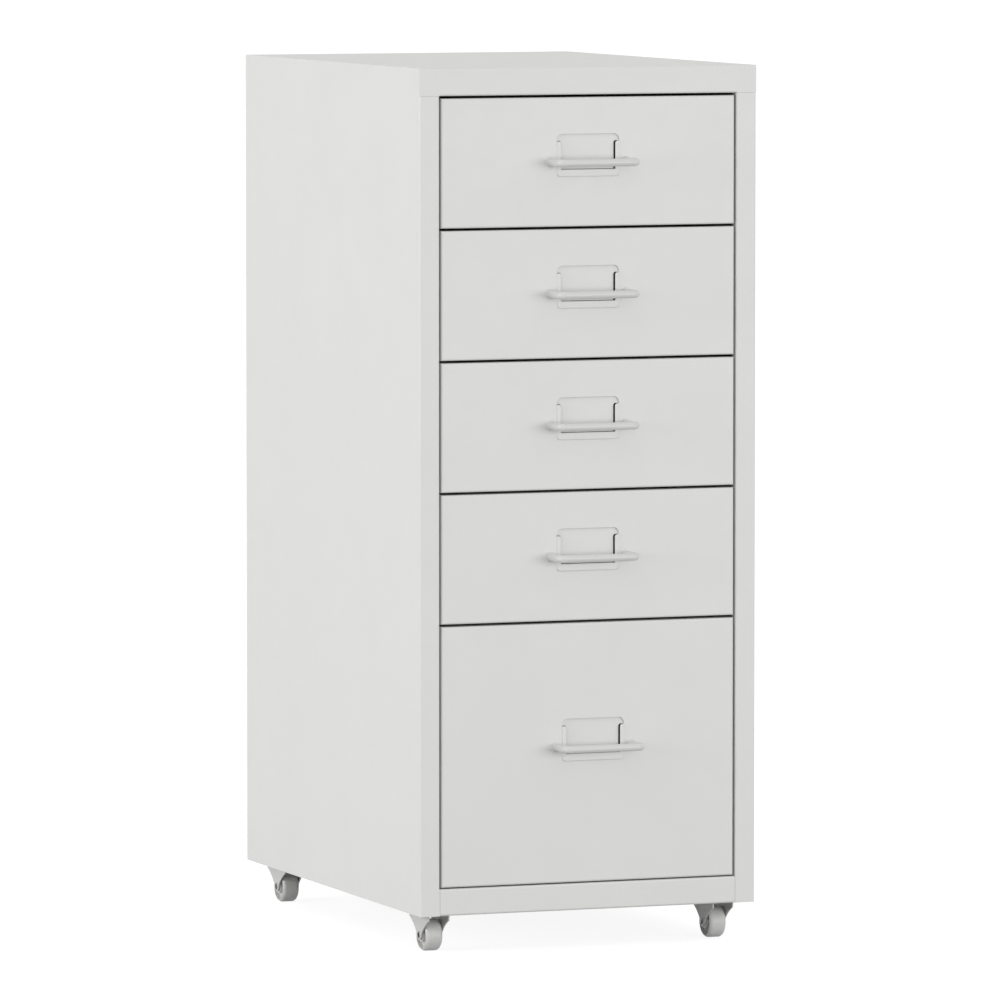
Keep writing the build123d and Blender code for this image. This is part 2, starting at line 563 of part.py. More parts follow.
for number, (low, high) in enumerate(drawer_limits(), start=1):
    across = PULL_ACROSS[number - 1]
    height = (low + high) / 2 + PULL_UP[number - 1]
    left_runner = runner(high)
    save(f"runner_left_{number}", left_runner)
    save(f"runner_right_{number}", mirror(left_runner, about=Plane.YZ))
    save(f"drawer_tray_{number}", tray(low, high))
    save(f"tray_ends_{number}", Compound(children=tray_ends(low, high, across, height)))
    save(f"drawer_front_{number}", drawer_front(low, high, across, height))
    save(f"pull_{number}", pull(across, height))
    save(f"pull_screws_{number}", Compound(children=pull_screws(across, height)))

for corner, (axle_x, axle_y) in CASTORS.items():
    save(f"castor_fork_{corner}", fork(axle_x, axle_y))
    save(f"castor_wheel_{corner}", wheel(axle_x, axle_y))
    save(f"castor_axle_{corner}", axle(axle_x, axle_y))
save("castor_screws", Compound(children=castor_screws()))
save("castor_nuts", Compound(children=castor_nuts()))
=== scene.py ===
import math

import bmesh
import bpy
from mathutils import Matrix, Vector


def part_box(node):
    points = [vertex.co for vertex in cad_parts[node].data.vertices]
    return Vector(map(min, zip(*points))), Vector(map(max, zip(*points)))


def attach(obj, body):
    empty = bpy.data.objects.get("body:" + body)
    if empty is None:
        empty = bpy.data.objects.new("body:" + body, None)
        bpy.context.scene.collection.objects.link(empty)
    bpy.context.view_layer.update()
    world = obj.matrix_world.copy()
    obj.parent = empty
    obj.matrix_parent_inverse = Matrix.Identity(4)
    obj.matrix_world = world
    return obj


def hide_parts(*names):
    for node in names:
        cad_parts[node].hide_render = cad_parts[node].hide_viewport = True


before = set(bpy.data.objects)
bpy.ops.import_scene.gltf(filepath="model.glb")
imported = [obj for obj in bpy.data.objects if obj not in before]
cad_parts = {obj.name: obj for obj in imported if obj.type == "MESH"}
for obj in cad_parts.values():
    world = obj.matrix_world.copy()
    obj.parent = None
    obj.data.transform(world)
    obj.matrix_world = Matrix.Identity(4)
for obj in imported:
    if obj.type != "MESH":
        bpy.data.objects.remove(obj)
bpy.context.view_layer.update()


# ---------------------------------------------------------------- case
# Two folded side panels, a top with a deep front skirt, a base with a boxed lip and a flat back,
# all 0.8 mm steel. They are spot welded and then powder coated light grey, so the paint has a faint
# orange peel, and the large faces are very slightly wavy, as thin sheet is.
CABINET_GREY = ((0.722, 0.723, 0.711), (0.708, 0.709, 0.697))
SHADE_PATCH = 0.07
GLOSS_PATCH = 0.012
GLOSS_DRIFT = 0.03
SHEET_WAVE = 0.16
PAINT_IOR = 1.45


def noise_on(tree, size, detail=2.0, seed=0.0):
    """Noise on Object coordinates whose blobs are about as wide as the size, in metres."""
    place = tree.nodes.new("ShaderNodeTexCoord")
    noise = tree.nodes.new("ShaderNodeTexNoise")
    noise.noise_dimensions = "4D"
    noise.inputs["W"].default_value = seed
    noise.inputs["Scale"].default_value = 1.0 / size
    noise.inputs["Detail"].default_value = detail
    tree.links.new(place.outputs["Object"], noise.inputs["Vector"])
    return noise.outputs["Fac"]


def ranged(tree, source, low, high, start=0.3, end=0.7):
    """The noise spread over a range of values."""
    spread = tree.nodes.new("ShaderNodeMapRange")
    spread.inputs["From Min"].default_value = start
    spread.inputs["From Max"].default_value = end
    spread.inputs["To Min"].default_value = low
    spread.inputs["To Max"].default_value = high
    tree.links.new(source, spread.inputs["Value"])
    return spread.outputs["Result"]


def tinted(tree, shader, pale, dark, amount):
    """Base colour that drifts between two close shades."""
    mix = tree.nodes.new("ShaderNodeMix")
    mix.data_type = "RGBA"
    mix.inputs["A"].default_value = (*pale, 1.0)
    mix.inputs["B"].default_value = (*dark, 1.0)
    tree.links.new(amount, mix.inputs["Factor"])
    tree.links.new(mix.outputs["Result"], shader.inputs["Base Color"])


def bumped(tree, shader, heights):
    """Bumps from (height, depth in metres) pairs, the widest first."""
    above = None
    for height, depth in heights:
        bump = tree.nodes.new("ShaderNodeBump")
        bump.inputs["Strength"].default_value = 1.0
        bump.inputs["Distance"].default_value = depth
        tree.links.new(height, bump.inputs["Height"])
        if above:
            tree.links.new(above, bump.inputs["Normal"])
        above = bump.outputs["Normal"]
    tree.links.new(above, shader.inputs["Normal"])


def powder_coat(name, pale, dark, rough, peel_size=0.0011, peel_depth=0.000008, wave_depth=0.00012):
    """Paint whose shade and gloss drift in patches, with an orange peel over the sheet's slow waves."""
    material = bpy.data.materials.new(name)
    material.use_nodes = True
    tree = material.node_tree
    shader = tree.nodes["Principled BSDF"]
    tinted(tree, shader, pale, dark, ranged(tree, noise_on(tree, SHADE_PATCH, detail=3.0), 0.0, 1.0))
    peel = noise_on(tree, peel_size, detail=1.0, seed=2.0)
    gloss = noise_on(tree, GLOSS_PATCH, detail=2.0, seed=5.0)
    tree.links.new(ranged(tree, gloss, rough - GLOSS_DRIFT, rough + GLOSS_DRIFT),
                   shader.inputs["Roughness"])
    wave = noise_on(tree, SHEET_WAVE, detail=0.0, seed=1.0)
    bumped(tree, shader, [(wave, wave_depth), (peel, peel_depth)])
    shader.inputs["IOR"].default_value = PAINT_IOR
    return material


def finish_node(node, material):
    """A carried-over CAD node keeps its mesh and takes this finish."""
    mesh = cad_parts[node].data
    mesh.materials.clear()
    mesh.materials.append(material)


case_coat = powder_coat("case_coat", *CABINET_GREY, 0.46)
for sheet in ("side_panel_left", "side_panel_right", "top_panel", "bottom_panel", "back_panel"):
    finish_node(sheet, case_coat)


# ---------------------------------------------------------------- back screws
# Twelve cross-head sheet-metal screws hold the back to the rear flanges, the top and the base. They
# are rolled steel with bright zinc on them, and each stopped at its own angle when it was driven in.
BACK_SCREW_HEAD = 0.0070
BACK_SCREW_HEAD_H = 0.0016
BACK_SCREW_SHANK = 0.0035
BACK_SCREW_LENGTH = 0.0060
BACK_SCREW_SLOT = 0.0009
BACK_SCREW_THREAD = 0.0013
BACK_SCREW_ROWS = 4
BACK_SCREW_MARGIN = 0.040   # end rows from the top of the case and from the base sheet
FLANGE_SCREW_IN = 0.008     # from the outside of the case
TOP_SCREW_DROP = 0.0072     # the two screws in the top's rear flange, below the top
BASE_FLANGE_H = 0.015       # the base's rear flange, with two screws half way up
EDGE_SCREW_PITCH = 0.120    # between the two screws in either of those flanges
SCREW_DOME = 0.62           # how far a head's rim lies below its crown, as a share of its height
SCREW_DOME_POWER = 3.0
SCREW_CROSS_LONG = 0.52     # length of the cross, as a share of the head's diameter
SCREW_CROSS_BAR = 1.3       # height of the bars that cut it, half of it in the head, as a share
THREAD_DEEP = 0.17          # as a share of the shank's radius
THREAD_RINGS = 4.0          # rings of points to one turn of the thread


def zinc_plate(name, pale, dark, rough, cloud_size, shinier=0.06, duller=0.08, grain_depth=0.00001):
    """Plated metal, clouded in shade and in gloss, with a faint grain."""
    material = bpy.data.materials.new(name)
    material.use_nodes = True
    tree = material.node_tree
    shader = tree.nodes["Principled BSDF"]
    shader.inputs["Metallic"].default_value = 1.0
    tinted(tree, shader, pale, dark, ranged(tree, noise_on(tree, cloud_size, detail=3.0), 0.0, 1.0))
    gloss = noise_on(tree, cloud_size * 0.4, detail=2.0, seed=3.0)
    tree.links.new(ranged(tree, gloss, rough - shinier, rough + duller), shader.inputs["Roughness"])
    grain = noise_on(tree, cloud_size * 0.2, detail=2.0, seed=7.0)
    bumped(tree, shader, [(grain, grain_depth)])
    return material


def tree_of(name, sockets):
    """An empty geometry tree with a geometry in and out, and these named inputs."""
    tree = bpy.data.node_groups.new(name, "GeometryNodeTree")
    tree.interface.new_socket("Geometry", in_out="INPUT", socket_type="NodeSocketGeometry")
    for label, kind in sockets:
        tree.interface.new_socket(label, in_out="INPUT", socket_type="NodeSocket" + kind)
    tree.interface.new_socket("Geometry", in_out="OUTPUT", socket_type="NodeSocketGeometry")
    return tree


def feed(tree, socket, value):
    """The socket takes a value, or is fed by another socket."""
    if isinstance(value, bpy.types.NodeSocket):
        tree.links.new(value, socket)
    else:
        socket.default_value = value


def put(tree, kind, settings=None, **inputs):
    """A node with its settings and its inputs, each given as a value or as the socket that feeds it."""
    node = tree.nodes.new(kind)
    for key, value in (settings or {}).items():
        setattr(node, key, value)
    for label, value in inputs.items():
        feed(tree, node.inputs[label.replace("_", " ")], value)
    return node


def sums(tree, operation, first, second=0.0):
    """The result of one operation on one or two values, each a number or a socket."""
    node = tree.nodes.new("ShaderNodeMath")
    node.operation = operation
    for socket, value in zip(node.inputs, (first, second)):
        feed(tree, socket, value)
    return node.outputs[0]


def point_from(tree, x=0.0, y=0.0, z=0.0):
    """A point from its coordinates, each a number or a socket."""
    node = tree.nodes.new("ShaderNodeCombineXYZ")
    for socket, value in zip(node.inputs, (x, y, z)):
        feed(tree, socket, value)
    return node.outputs[0]


def grown(name, places, edges, tree, values):
    """A plain mesh of what the tree makes of these places."""
    mesh = bpy.data.meshes.new(name)
    mesh.from_pydata(places, edges, [])
    piece = bpy.data.objects.new(name, mesh)
    bpy.context.scene.collection.objects.link(piece)
    modifier = piece.modifiers.new("grow", "NODES")
    modifier.node_group = tree
    for item in tree.interface.items_tree:
        if item.in_out == "INPUT" and item.name in values:
            modifier[item.identifier] = values[item.name]
    graph = bpy.context.evaluated_depsgraph_get()
    plain = bpy.data.meshes.new_from_object(piece.evaluated_get(graph))
    piece.modifiers.clear()
    piece.data = plain
    plain.name = name
    rounded(plain)
    return piece


def rounded(mesh, angle=math.radians(32)):
    """Smooth shading up to that angle, and crisp edges past it."""
    mesh.shade_smooth()
    mesh.set_sharp_from_angle(angle=angle)


def cross_head_tree():
    """A pan-head screw with a cross recess and a rolled thread, once at each vertex."""
    tree = tree_of("cross_head_screws", [
        ("Head diameter", "Float"), ("Head height", "Float"), ("Shank diameter", "Float"),
        ("Shank length", "Float"), ("Thread pitch", "Float"), ("Slot width", "Float"),
        ("Head turned", "Vector"), ("Seed", "Int"), ("Metal", "Material")])
    given = tree.nodes.new("NodeGroupInput").outputs
    head_r = sums(tree, "MULTIPLY", given["Head diameter"], 0.5)
    head = put(tree, "GeometryNodeMeshCylinder", {"fill_type": "NGON"}, Vertices=32, Side_Segments=2,
               Fill_Segments=6, Radius=head_r, Depth=given["Head height"])
    where = put(tree, "GeometryNodeInputPosition").outputs[0]
    along = put(tree, "ShaderNodeSeparateXYZ", Vector=where).outputs
    out = sums(tree, "SQRT", sums(tree, "ADD", sums(tree, "MULTIPLY", along["X"], along["X"]),
                                  sums(tree, "MULTIPLY", along["Y"], along["Y"])))
    share = sums(tree, "DIVIDE", out, head_r)
    drop = sums(tree, "MULTIPLY", sums(tree, "POWER", share, SCREW_DOME_POWER), given["Head height"])
    just_above_middle = 0.00001
    upper = sums(tree, "GREATER_THAN", along["Z"], just_above_middle)
    dome = put(tree, "GeometryNodeSetPosition", Geometry=head.outputs["Mesh"], Selection=upper,
               Offset=point_from(tree, z=sums(tree, "MULTIPLY", drop, -SCREW_DOME)))
    half_height = sums(tree, "MULTIPLY", given["Head height"], 0.5)
    head_up = put(tree, "GeometryNodeTransform", Geometry=dome.outputs[0],
                  Translation=point_from(tree, z=half_height))
    slot_long = sums(tree, "MULTIPLY", given["Head diameter"], SCREW_CROSS_LONG)
    bar_high = sums(tree, "MULTIPLY", given["Head height"], SCREW_CROSS_BAR)
    bars = []
    for long, wide in ((slot_long, given["Slot width"]), (given["Slot width"], slot_long)):
        bar = put(tree, "GeometryNodeMeshCube", Size=point_from(tree, long, wide, bar_high))
        bars.append(put(tree, "GeometryNodeTransform", Geometry=bar.outputs["Mesh"],
                        Translation=point_from(tree, z=given["Head height"])).outputs[0])
    recess = put(tree, "GeometryNodeMeshBoolean", {"operation": "DIFFERENCE"})
    tree.links.new(head_up.outputs[0], recess.inputs["Mesh 1"])
    for bar in bars:
        tree.links.new(bar, recess.inputs["Mesh 2"])
    thread_turns = sums(tree, "DIVIDE", given["Shank length"], given["Thread pitch"])
    rings = sums(tree, "MULTIPLY", thread_turns, THREAD_RINGS)
    shank = put(tree, "GeometryNodeMeshCylinder", {"fill_type": "NGON"}, Vertices=20, Fill_Segments=1,
                Side_Segments=rings, Radius=sums(tree, "MULTIPLY", given["Shank diameter"], 0.5),
                Depth=given["Shank length"])
    turn = sums(tree, "DIVIDE", sums(tree, "ARCTAN2", along["Y"], along["X"]), 2 * math.pi)
    climb = sums(tree, "ADD", sums(tree, "DIVIDE", along["Z"], given["Thread pitch"]), turn)
    crest = sums(tree, "PINGPONG", climb, 0.5)
    inwards = sums(tree, "MULTIPLY", sums(tree, "SUBTRACT", crest, 0.5), 2 * THREAD_DEEP)
    thread = put(tree, "GeometryNodeSetPosition", Geometry=shank.outputs["Mesh"],
                 Offset=point_from(tree, sums(tree, "MULTIPLY", along["X"], inwards),
                                   sums(tree, "MULTIPLY", along["Y"], inwards)))
    down = put(tree, "GeometryNodeTransform", Geometry=thread.outputs[0],
               Translation=point_from(tree, z=sums(tree, "MULTIPLY", given["Shank length"], -0.5)))
    screw = put(tree, "GeometryNodeJoinGeometry")
    tree.links.new(recess.outputs["Mesh"], screw.inputs[0])
    tree.links.new(down.outputs[0], screw.inputs[0])
    driven = put(tree, "GeometryNodeInstanceOnPoints", Points=given["Geometry"],
                 Instance=screw.outputs[0], Rotation=given["Head turned"])
    chance = put(tree, "FunctionNodeRandomValue", {"data_type": "FLOAT"}, Seed=given["Seed"])
    chance.inputs[3].default_value = 2 * math.pi
    spun = put(tree, "GeometryNodeRotateInstances", Instances=driven.outputs[0],
               Rotation=point_from(tree, z=chance.outputs[1]))
    real = put(tree, "GeometryNodeRealizeInstances", Geometry=spun.outputs[0])
    plated = put(tree, "GeometryNodeSetMaterial", Geometry=real.outputs[0], Material=given["Metal"])
    tree.links.new(plated.outputs[0], tree.nodes.new("NodeGroupOutput").inputs[0])
    return tree


cross_head_screws = cross_head_tree()
screw_zinc = zinc_plate("screw_zinc", (0.62, 0.63, 0.64), (0.52, 0.53, 0.55), 0.30, 0.004)
back_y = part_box("side_panel_left")[1].y
flange_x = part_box("side_panel_right")[1].x - FLANGE_SCREW_IN
case_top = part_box("top_panel")[1].z
base_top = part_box("castor_nuts")[0].z
first_row = base_top + BACK_SCREW_MARGIN
row_pitch = (case_top - BACK_SCREW_MARGIN - first_row) / (BACK_SCREW_ROWS - 1)
flange_rows = [first_row + row_pitch * row for row in range(BACK_SCREW_ROWS)]
edge_rows = (case_top - TOP_SCREW_DROP, base_top + BASE_FLANGE_H / 2)
back_places = [(side * flange_x, back_y, height) for height in flange_rows for side in (-1, 1)]
back_places += [(side * EDGE_SCREW_PITCH / 2, back_y, height)
                for height in edge_rows for side in (-1, 1)]
back_screws = grown("back_screw_set", back_places, [], cross_head_screws, {
    "Head diameter": BACK_SCREW_HEAD, "Head height": BACK_SCREW_HEAD_H,
    "Slot width": BACK_SCREW_SLOT, "Shank diameter": BACK_SCREW_SHANK,
    "Shank length": BACK_SCREW_LENGTH, "Thread pitch": BACK_SCREW_THREAD,
    "Head turned": (-math.pi / 2, 0.0, 0.0), "Seed": 11, "Metal": screw_zinc})
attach(back_screws, "cabinet")
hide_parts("back_screws")


# ---------------------------------------------------------------- runners
# Ten channels of 1.0 mm galvanised sheet, spot welded to the side panels, two to a drawer. The wide
# lower leg carries the tray's flange and the narrow upper one keeps the drawer from tipping.
RUNNER_LEDGE = 0.025
RUNNER_LIP = 0.012
RUNNER_OPENING = 0.012
RUNNER_SHEET = 0.001
RUNNER_FOLD = 0.0008


def runner_tree():
    """A folded channel along Y at each vertex, turned to face the middle of the cabinet."""
    tree = tree_of("folded_runners", [
        ("Ledge width", "Float"), ("Lip width", "Float"), ("Opening", "Float"), ("Sheet", "Float"),
        ("Fold radius", "Float"), ("Length", "Float"), ("Metal", "Material")])
    given = tree.nodes.new("NodeGroupInput").outputs
    half = sums(tree, "MULTIPLY", given["Sheet"], 0.5)
    corners = put(tree, "GeometryNodeMeshLine", Count=4)
    number = put(tree, "GeometryNodeInputIndex").outputs[0]
    first = sums(tree, "LESS_THAN", number, 0.5)
    last = sums(tree, "GREATER_THAN", number, 2.5)
    x = sums(tree, "ADD", half, sums(tree, "ADD",
             sums(tree, "MULTIPLY", first, sums(tree, "SUBTRACT", given["Ledge width"], half)),
             sums(tree, "MULTIPLY", last, sums(tree, "SUBTRACT", given["Lip width"], half))))
    z = sums(tree, "MULTIPLY", sums(tree, "GREATER_THAN", number, 1.5),
             sums(tree, "ADD", given["Opening"], given["Sheet"]))
    section = put(tree, "GeometryNodeSetPosition", Geometry=corners.outputs[0],
                  Position=point_from(tree, x, 0.0, z))
    line = put(tree, "GeometryNodeMeshToCurve", Mesh=section.outputs[0])
    bent = put(tree, "GeometryNodeFilletCurve", {"mode": "POLY"}, Curve=line.outputs[0], Count=6,
               Radius=sums(tree, "ADD", given["Fold radius"], half))
    strip = put(tree, "GeometryNodeCurvePrimitiveQuadrilateral", {"mode": "RECTANGLE"},
                Width=given["Length"], Height=given["Sheet"])
    channel = put(tree, "GeometryNodeCurveToMesh", Curve=bent.outputs[0],
                  Profile_Curve=strip.outputs[0], Fill_Caps=True)
    along = put(tree, "ShaderNodeSeparateXYZ",
                Vector=put(tree, "GeometryNodeInputPosition").outputs[0]).outputs
    facing = sums(tree, "MULTIPLY", sums(tree, "GREATER_THAN", along["X"], 0.0), math.pi)
    hung = put(tree, "GeometryNodeInstanceOnPoints", Points=given["Geometry"],
               Instance=channel.outputs[0], Rotation=point_from(tree, z=facing))
    real = put(tree, "GeometryNodeRealizeInstances", Geometry=hung.outputs[0])
    plated = put(tree, "GeometryNodeSetMaterial", Geometry=real.outputs[0], Material=given["Metal"])
    tree.links.new(plated.outputs[0], tree.nodes.new("NodeGroupOutput").inputs[0])
    return tree


runner_zinc = zinc_plate("runner_zinc", (0.60, 0.61, 0.62), (0.47, 0.48, 0.50), 0.38, 0.009)
runner_nodes = [f"runner_{side}_{number}" for number in range(1, 6) for side in ("left", "right")]
runner_places = []
for node in runner_nodes:
    low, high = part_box(node)
    wall_x = low.x if "left" in node else high.x
    runner_places.append((wall_x, (low.y + high.y) / 2, low.z + RUNNER_SHEET / 2))
low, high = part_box("runner_left_1")
runners = grown("drawer_runners", runner_places, [], runner_tree(), {
    "Ledge width": RUNNER_LEDGE, "Lip width": RUNNER_LIP, "Opening": RUNNER_OPENING,
    "Sheet": RUNNER_SHEET, "Fold radius": RUNNER_FOLD, "Length": high.y - low.y, "Metal": runner_zinc})
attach(runners, "cabinet")
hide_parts(*runner_nodes)


# ---------------------------------------------------------------- drawers
# Each drawer is a welded tray of 0.6 mm sheet and a shallow front pressed from the same sheet, with
# the card holder drawn out of its face. Front and tray are coated together in the cabinet's grey.
drawer_coat = powder_coat("drawer_coat", *CABINET_GREY, 0.44)
for number in range(1, 6):
    for sheet in ("drawer_tray", "tray_ends", "drawer_front"):
        finish_node(f"{sheet}_{number}", drawer_coat)


# ---------------------------------------------------------------- pulls
# A bow of 6 mm steel wire on each front, bent cold and coated in a smoother, glossier grey, which is
# drawn darker than the cabinet's as painted shade on the round bar. Its legs stand on the front and are
# tapped, and two screws hold them from inside the tray.
PULL_ROD = 0.0060
PULL_BEND = 0.004
PULL_PITCH = 0.063
PULL_FOOT = 0.0078
PULL_FOOT_LENGTH = 0.0014
PULL_FOOT_RINGS = (0.0, 0.5, 0.64, 0.78, 0.9, 0.97, 1.0)    # rings of points, as shares of its length
PULL_SCREW_HEAD = 0.0060
PULL_SCREW_HEAD_H = 0.0018
PULL_SCREW_SHANK = 0.0030
PULL_SCREW_LENGTH = 0.0086
PULL_SCREW_SLOT = 0.0009
PULL_SCREW_THREAD = 0.0008


def wire_tree():
    """A round wire along a polyline, with smooth bends and a rounded collar at each end."""
    tree = tree_of("bent_wire", [("Rod diameter", "Float"), ("Bend radius", "Float"),
                                 ("Foot diameter", "Float"), ("Foot length", "Float"),
                                 ("Coat", "Material")])
    given = tree.nodes.new("NodeGroupInput").outputs
    line = put(tree, "GeometryNodeMeshToCurve", Mesh=given["Geometry"])
    bent = put(tree, "GeometryNodeFilletCurve", {"mode": "POLY"}, Curve=line.outputs[0], Count=14,
               Radius=given["Bend radius"])
    ring = put(tree, "GeometryNodeCurvePrimitiveCircle", {"mode": "RADIUS"}, Resolution=32,
               Radius=sums(tree, "MULTIPLY", given["Rod diameter"], 0.5))
    along = put(tree, "GeometryNodeSplineParameter").outputs["Length"]
    whole = put(tree, "GeometryNodeSplineLength").outputs["Length"]
    from_end = sums(tree, "MINIMUM", along, sums(tree, "SUBTRACT", whole, along))
    straight = sums(tree, "MULTIPLY", given["Foot length"], 0.5)
    round_part = sums(tree, "DIVIDE", sums(tree, "SUBTRACT", from_end, straight), straight)
    inside = sums(tree, "MINIMUM", 1.0, sums(tree, "MAXIMUM", 0.0, round_part))
    bulge = sums(tree, "SQRT", sums(tree, "SUBTRACT", 1.0, sums(tree, "MULTIPLY", inside, inside)))
    wider = sums(tree, "SUBTRACT", sums(tree, "DIVIDE", given["Foot diameter"], given["Rod diameter"]), 1.0)
    girth = sums(tree, "ADD", 1.0, sums(tree, "MULTIPLY", bulge, wider))
    wire = put(tree, "GeometryNodeCurveToMesh", Curve=bent.outputs[0], Profile_Curve=ring.outputs[0],
               Scale=girth, Fill_Caps=True)
    coated = put(tree, "GeometryNodeSetMaterial", Geometry=wire.outputs[0], Material=given["Coat"])
    tree.links.new(coated.outputs[0], tree.nodes.new("NodeGroupOutput").inputs[0])
    return tree


bent_wire = wire_tree()
# Painted shade: the pulls' grey is drawn darker than the cabinet's, for the shade on the round bar.
pull_coat_painted_shade = powder_coat("pull_coat_painted_shade", (0.655, 0.656, 0.645), (0.643, 0.644, 0.633), 0.24,
                        peel_size=0.0016, peel_depth=0.000004, wave_depth=0.0)
for number in range(1, 6):
    low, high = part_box(f"pull_{number}")
    middle_x = (low.x + high.x) / 2
    height = (low.z + high.z) / 2
    bar_y = low.y + PULL_ROD / 2
    leg_places = [high.y - PULL_FOOT_LENGTH * share for share in PULL_FOOT_RINGS]
    leg_places.append(bar_y)
    left_leg = [(middle_x - PULL_PITCH / 2, place, height) for place in leg_places]
    right_leg = [(middle_x + PULL_PITCH / 2, place, height) for place in reversed(leg_places)]
    bow = left_leg + right_leg
    runs = [(step, step + 1) for step in range(len(bow) - 1)]
    pull = grown(f"wire_pull_{number}", bow, runs, bent_wire, {
        "Rod diameter": PULL_ROD, "Bend radius": PULL_BEND, "Foot diameter": PULL_FOOT,
        "Foot length": PULL_FOOT_LENGTH, "Coat": pull_coat_painted_shade})
    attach(pull, f"drawer_{number}")
    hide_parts(f"pull_{number}")
    head_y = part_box(f"pull_screws_{number}")[1].y - PULL_SCREW_HEAD_H
    screw_places = [(middle_x + side * PULL_PITCH / 2, head_y, height) for side in (-1, 1)]
    screws = grown(f"pull_screw_pair_{number}", screw_places, [], cross_head_screws, {
        "Head diameter": PULL_SCREW_HEAD, "Head height": PULL_SCREW_HEAD_H,
        "Slot width": PULL_SCREW_SLOT, "Shank diameter": PULL_SCREW_SHANK,
        "Shank length": PULL_SCREW_LENGTH, "Thread pitch": PULL_SCREW_THREAD,
        "Head turned": (-math.pi / 2, 0.0, 0.0), "Seed": 20 + number, "Metal": screw_zinc})
    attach(screws, f"drawer_{number}")
    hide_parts(f"pull_screws_{number}")


# ---------------------------------------------------------------- castors
# Four small fixed castors: a pressed fork of 1.0 mm sheet in a grey a little darker than the cabinet's,
# a wheel moulded in light grey plastic with dished sides, and a hollow steel rivet that is both axle and
# fastening, its steel drawn dark as painted shade at the axle.
WHEEL_R = 0.0125
WHEEL_W = 0.0145
WHEEL_EDGE = 0.0034
WHEEL_SOFT = 0.0004         # rounding of the hub's and the dish's edges
HUB_R = 0.0055
DISH_R = 0.0105
DISH_DEEP = 0.0040
DISH_LEAN = 0.0001          # how far the dish's walls lean, so that the wheel leaves its mould
RIM_IN = 0.0003             # inner edge of the rim, in from the wheel's side
BORE_R = 0.00255
TREAD_FLAT = 0.0009         # a ring of points on the tread, on each side of the parting line
PARTING_HALF = 0.0002
PARTING_FLOOR = 0.0001
PARTING_DEEP = 0.00002
WHEEL_STEPS = 72
RIVET_R = 0.0025
RIVET_BORE = 0.0020
RIVET_HEAD_R = 0.0030
RIVET_HEAD_H = 0.0004
RIVET_ROUNDING = 0.0003
RIVET_STEPS = 40
FORK_HALF = 0.00875         # outside of a fork's leg, from the wheel's middle
CORNERS = ("front_left", "front_right", "rear_left", "rear_right")


def arc(middle, radius, start, end, steps):
    """Points of an arc, in degrees, as (along the axle, out from the axle)."""
    turns = [math.radians(start + (end - start) * step / steps) for step in range(steps + 1)]
    return [(middle[0] + radius * math.cos(turn), middle[1] + radius * math.sin(turn)) for turn in turns]


def turned(name, outline, middle, steps):
    """A closed outline of (along, out) points turned about the axle, which runs along X."""
    mesh = bmesh.new()
    ring = [mesh.verts.new((middle.x + along, middle.y, middle.z + out)) for along, out in outline]
    edges = [mesh.edges.new((ring[step - 1], ring[step])) for step in range(len(ring))]
    bmesh.ops.spin(mesh, geom=ring + edges, cent=middle, axis=(1, 0, 0), angle=2 * math.pi,
                   steps=steps, use_merge=True)
    bmesh.ops.remove_doubles(mesh, verts=mesh.verts, dist=0.000001)
    bmesh.ops.recalc_face_normals(mesh, faces=mesh.faces)
    plain = bpy.data.meshes.new(name)
    mesh.to_mesh(plain)
    mesh.free()
    piece = bpy.data.objects.new(name, plain)
    bpy.context.scene.collection.objects.link(piece)
    rounded(plain)
    return piece


def wheel_outline():
    """The wheel's section: hub, dish and tread on both sides, with a fine parting line in the tread."""
    half = WHEEL_W / 2
    floor = half - DISH_DEEP
    side = [(half - WHEEL_SOFT, BORE_R), (half, BORE_R + WHEEL_SOFT)]
    side += arc((half - WHEEL_SOFT, HUB_R - WHEEL_SOFT), WHEEL_SOFT, start=0, end=90, steps=4)
    side += [(floor + WHEEL_SOFT, HUB_R + DISH_LEAN), (floor, HUB_R + WHEEL_SOFT)]
    side += [(floor, DISH_R - WHEEL_SOFT), (floor + WHEEL_SOFT, DISH_R - DISH_LEAN)]
    side.append((half - RIM_IN, DISH_R))
    tread = arc((half - WHEEL_EDGE, WHEEL_R - WHEEL_EDGE), WHEEL_EDGE, start=0, end=90, steps=14)
    side += [point for point in tread if point[1] > DISH_R + DISH_LEAN]
    side += [(TREAD_FLAT, WHEEL_R), (PARTING_HALF, WHEEL_R), (PARTING_FLOOR, WHEEL_R - PARTING_DEEP)]
    return side + [(-along, out) for along, out in reversed(side)]


def moulded_plastic(name, pale, dark, rough, mottle_size=0.006, shinier=0.05, duller=0.06,
                    grain_size=0.0007, grain_depth=0.000012):
    """Moulded plastic with a faint mottle and grain, into which light sinks a little."""
    material = bpy.data.materials.new(name)
    material.use_nodes = True
    tree = material.node_tree
    shader = tree.nodes["Principled BSDF"]
    tinted(tree, shader, pale, dark, ranged(tree, noise_on(tree, mottle_size, detail=3.0), 0.0, 1.0))
    gloss = noise_on(tree, mottle_size / 2, detail=2.0, seed=4.0)
    tree.links.new(ranged(tree, gloss, rough - shinier, rough + duller), shader.inputs["Roughness"])
    grain = noise_on(tree, grain_size, detail=2.0, seed=6.0)
    bumped(tree, shader, [(grain, grain_depth)])
    shader.inputs["Subsurface Weight"].default_value = 0.12
    shader.inputs["Subsurface Scale"].default_value = 0.002
    return material


